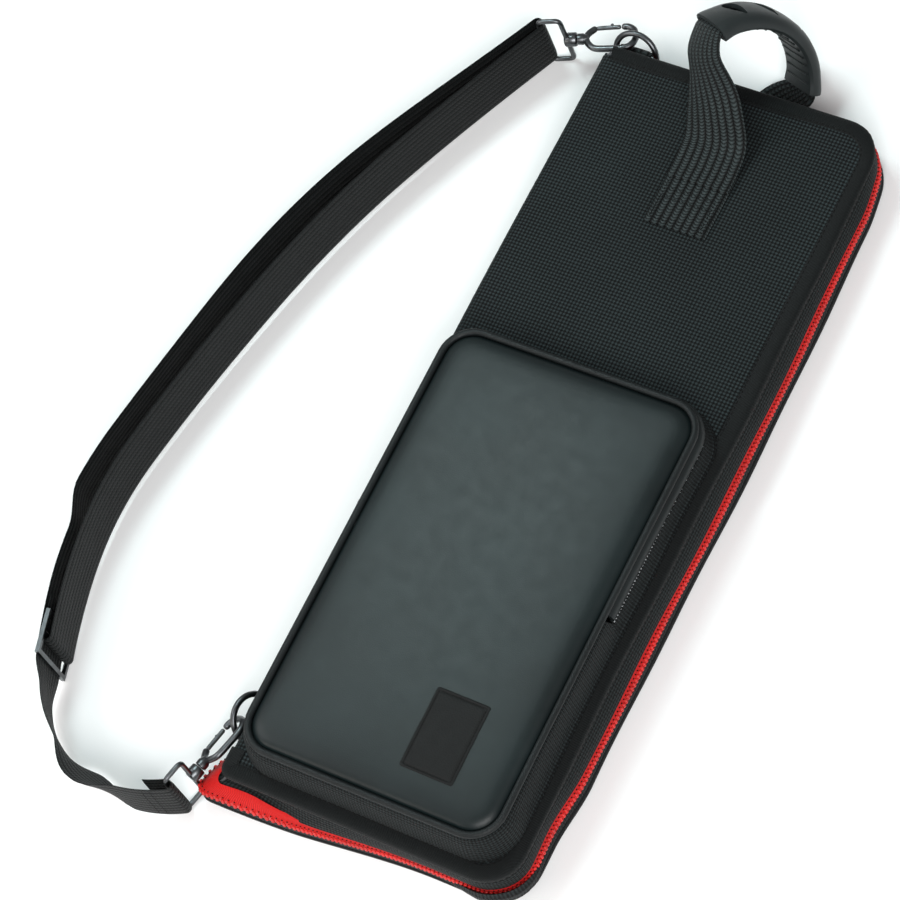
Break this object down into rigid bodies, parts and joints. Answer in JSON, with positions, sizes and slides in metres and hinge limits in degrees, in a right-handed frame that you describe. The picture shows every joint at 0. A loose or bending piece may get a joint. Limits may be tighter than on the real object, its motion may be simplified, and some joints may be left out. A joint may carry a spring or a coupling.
{
  "type": "drum stick bag",
  "caption": "Slim padded zip-round bag for drum sticks, with a leather-faced front pocket, twisted webbing handle with rubber grip, and an adjustable shoulder strap on swivel hooks",
  "frame": {"origin": "centre of the flat back face, which lies on the floor", "axes": "+Z out of the front pocket, +Y to the handle end, +X to the long zip side; the spine is at -X"},
  "size_m": [0.3302, 0.5564, 0.0846],
  "materials": {
    "body_nylon": "matte black ballistic nylon weave",
    "webbing": "matte black ribbed polypropylene webbing",
    "binding": "black diagonal twill binding tape",
    "lining": "dark grey plain woven lining",
    "foam": "closed-cell foam, sealed in",
    "red_tape": "red woven zip tape",
    "red_chain": "red coil zip teeth",
    "black_coil": "small silvery coil teeth",
    "leather": "smooth satin black synthetic leather",
    "piping": "black pebbled synthetic leather over cord",
    "patch": "plain black embossed leather patch",
    "grip_rubber": "moulded black rubber",
    "gunmetal": "gunmetal plated steel",
    "silver": "bright nickel plated zinc",
    "black_plastic": "black acetal moulding"
  },
  "bodies": {
    "bag_back": {"back_outer_panel": "body_nylon", "back_foam_pad": "foam", "back_lining": "lining", "back_binding": "binding", "back_side_wall": "body_nylon", "zip_tape_back": "red_tape", "zip_chain_back": "red_chain", "stick_sleeves": "lining", "spine_outer_panel": "body_nylon", "spine_foam_strip": "foam", "spine_lining": "lining", "handle_patch_back": "webbing", "handle_webbing_back": "webbing", "handle_webbing_core": "webbing", "handle_grip": "grip_rubber", "d_ring_tab_bottom": "webbing", "d_ring_tab_top": "webbing", "hook_eye_bottom": "gunmetal", "hook_eye_top": "gunmetal", "strap_webbing": "webbing"},
    "front_cover": {"front_outer_panel": "body_nylon", "front_foam_pad": "foam", "front_lining": "lining", "front_binding": "binding", "front_gusset": "body_nylon", "zip_tape_front": "red_tape", "zip_chain_front": "red_chain", "front_inner_pocket": "lining", "inner_pocket_hem": "binding", "handle_patch_front": "webbing", "handle_webbing_front": "webbing", "pocket_gusset": "body_nylon", "pocket_zip_chain_lower": "black_coil", "pocket_piping_lower": "piping", "pocket_face_lower": "leather", "pocket_plain_patch": "patch"},
    "pocket_flap": {"pocket_flap_face": "leather", "pocket_flap_piping": "piping", "pocket_flap_gusset": "leather", "pocket_zip_chain_upper": "black_coil"},
    "zip_slider_right": {"main_slider_right": "gunmetal"},
    "zip_pull_right": {"main_pull_right": "gunmetal"},
    "zip_slider_left": {"main_slider_left": "gunmetal"},
    "zip_pull_left": {"main_pull_left": "gunmetal"},
    "small_zip_slider": {"pocket_slider": "silver"},
    "small_zip_pull": {"pocket_pull_ring": "silver", "pocket_pull_cord": "webbing"},
    "ring_bottom": {"d_ring_bottom": "gunmetal"},
    "ring_top": {"d_ring_top": "gunmetal"},
    "hook_bottom": {"hook_body_bottom": "gunmetal"},
    "hook_top": {"hook_body_top": "gunmetal"},
    "gate_bottom": {"hook_gate_bottom": "gunmetal"},
    "gate_top": {"hook_gate_top": "gunmetal"},
    "length_adjuster": {"strap_adjuster": "black_plastic"}
  },
  "joints": [
    {"name": "front_cover_hinge", "type": "hinge", "parent": "bag_back", "child": "front_cover", "pos_m": [-0.089, 0, 0.0335], "axis": [0, -1, 0], "range_deg": [0, 90], "deforming": ["handle_webbing_front"]},
    {"name": "pocket_flap_fold", "type": "hinge", "parent": "front_cover", "child": "pocket_flap", "pos_m": [0, -0.088, 0.0618], "axis": [1, 0, 0], "range_deg": [0, 50]},
    {"name": "zip_slider_right_slide", "type": "slide", "parent": "bag_back", "child": "zip_slider_right", "axis": [1, 0, 0], "range_m": [0, 0.064], "deforming": ["zip_chain_back", "zip_chain_front"]},
    {"name": "zip_pull_right_flip", "type": "hinge", "parent": "zip_slider_right", "child": "zip_pull_right", "pos_m": [-0.006, 0.2421, 0.01435], "axis": [0, 0, 1], "range_deg": [0, 170]},
    {"name": "zip_slider_left_slide", "type": "slide", "parent": "bag_back", "child": "zip_slider_left", "axis": [-1, 0, 0], "range_m": [0, 0.018], "deforming": ["zip_chain_back", "zip_chain_front"]},
    {"name": "zip_pull_left_flip", "type": "hinge", "parent": "zip_slider_left", "child": "zip_pull_left", "pos_m": [-0.026, 0.2421, 0.01435], "axis": [0, 0, -1], "range_deg": [0, 80]},
    {"name": "pocket_slider_slide", "type": "slide", "parent": "front_cover", "child": "small_zip_slider", "axis": [0, 1, 0], "range_m": [0, 0.085], "deforming": ["pocket_zip_chain_lower", "pocket_zip_chain_upper"]},
    {"name": "pocket_pull_flip", "type": "hinge", "parent": "small_zip_slider", "child": "small_zip_pull", "pos_m": [-0.0817, -0.07, 0.04855], "axis": [0, 0, -1], "range_deg": [0, 80]},
    {"name": "d_ring_bottom_tilt", "type": "hinge", "parent": "bag_back", "child": "ring_bottom", "pos_m": [-0.0955, -0.199, 0.015], "axis": [0, 1, 0], "range_deg": [-8, 8]},
    {"name": "d_ring_top_tilt", "type": "hinge", "parent": "bag_back", "child": "ring_top", "pos_m": [-0.077, 0.2455, 0.016], "axis": [1, 0, 0], "range_deg": [-8, 8]},
    {"name": "hook_bottom_swivel", "type": "hinge", "parent": "bag_back", "child": "hook_bottom", "pos_m": [-0.11111, -0.25564, 0.0222], "axis": [0.2501, 0.9682, 0], "range_deg": [-12, 12]},
    {"name": "gate_bottom_press", "type": "hinge", "parent": "hook_bottom", "child": "gate_bottom", "pos_m": [-0.10886, -0.22276, 0.0176], "axis": [0.5864, -0.1515, -0.7957], "range_deg": [0, 22], "stiffness_Nm_per_rad": 0.02},
    {"name": "hook_top_swivel", "type": "hinge", "parent": "bag_back", "child": "hook_top", "pos_m": [-0.129, 0.23309, 0.0222], "axis": [0.9302, 0.3671, 0], "range_deg": [-12, 12]},
    {"name": "gate_top_press", "type": "hinge", "parent": "hook_top", "child": "gate_top", "pos_m": [-0.10161, 0.25194, 0.02084], "axis": [0.0655, -0.166, -0.9839], "range_deg": [0, 22], "stiffness_Nm_per_rad": 0.02},
    {"name": "adjuster_slide", "type": "slide", "parent": "bag_back", "child": "length_adjuster", "axis": [-0.2515, 0.9679, 0], "range_m": [0, 0.03], "deforming": ["strap_webbing"]}
  ]
}
